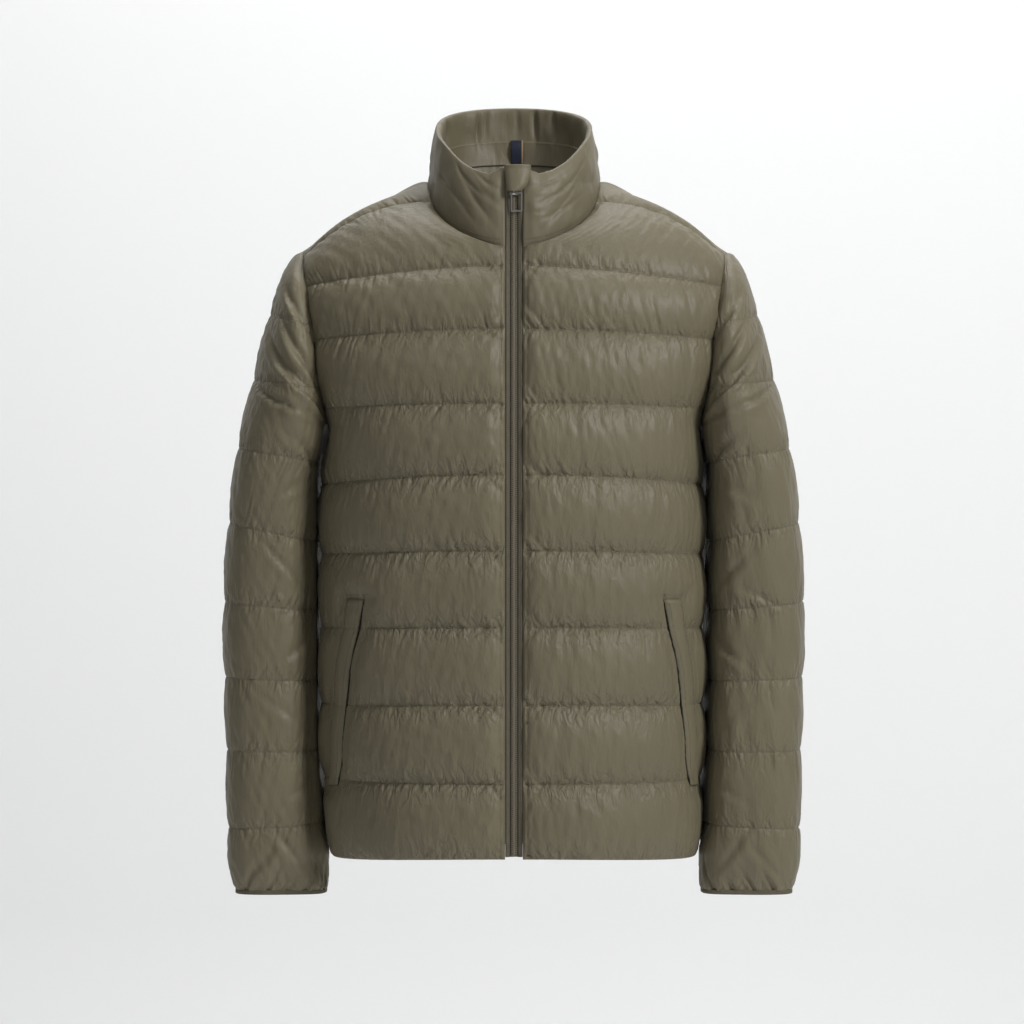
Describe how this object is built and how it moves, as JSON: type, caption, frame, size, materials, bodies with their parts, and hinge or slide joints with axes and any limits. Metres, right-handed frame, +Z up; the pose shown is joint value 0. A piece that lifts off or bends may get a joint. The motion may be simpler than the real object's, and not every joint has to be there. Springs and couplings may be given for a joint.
{
  "type": "puffer jacket",
  "caption": "Horizontally quilted puffer jacket with a stand collar, full-length front zip, slanted hand pockets and narrow bound cuffs, filled out as if worn and hollow inside.",
  "frame": {"origin": "middle of the neck opening at the height of the shoulder neck points, where the wearer's shoulders hold the jacket", "axes": "+X towards the wearer's left (image right), +Y towards the back, +Z up"},
  "size_m": [0.6128, 0.2875, 0.8304],
  "materials": {
    "nylon_shell": "olive-taupe woven nylon with a soft sheen",
    "elastic_binding": "dark olive stretch binding",
    "zip_tape": "woven tape, matt",
    "zip_teeth": "moulded teeth, satin",
    "zip_metal": "plated metal, satin",
    "loop_tape": "navy herringbone tape"
  },
  "bodies": {
    "garment": {"front_left": "nylon_shell", "front_right": "nylon_shell", "back": "nylon_shell", "sleeve_left": "nylon_shell", "sleeve_right": "nylon_shell", "cuff_binding_left": "elastic_binding", "cuff_binding_right": "elastic_binding", "collar": "nylon_shell", "collar_facing": "nylon_shell", "zip_tape_left": "zip_tape", "zip_tape_right": "zip_tape", "zip_teeth": "zip_teeth", "zip_slider": "zip_metal", "chin_guard": "nylon_shell", "pocket_welt_left": "nylon_shell", "pocket_welt_right": "nylon_shell", "hanger_loop": "loop_tape"},
    "pull": {"zip_pull": "zip_metal"}
  },
  "joints": [
    {"name": "pull_swing", "type": "hinge", "parent": "garment", "child": "pull", "pos_m": [0, -0.0956, -0.016], "axis": [-1, 0, 0], "range_deg": [0, 80]}
  ]
}
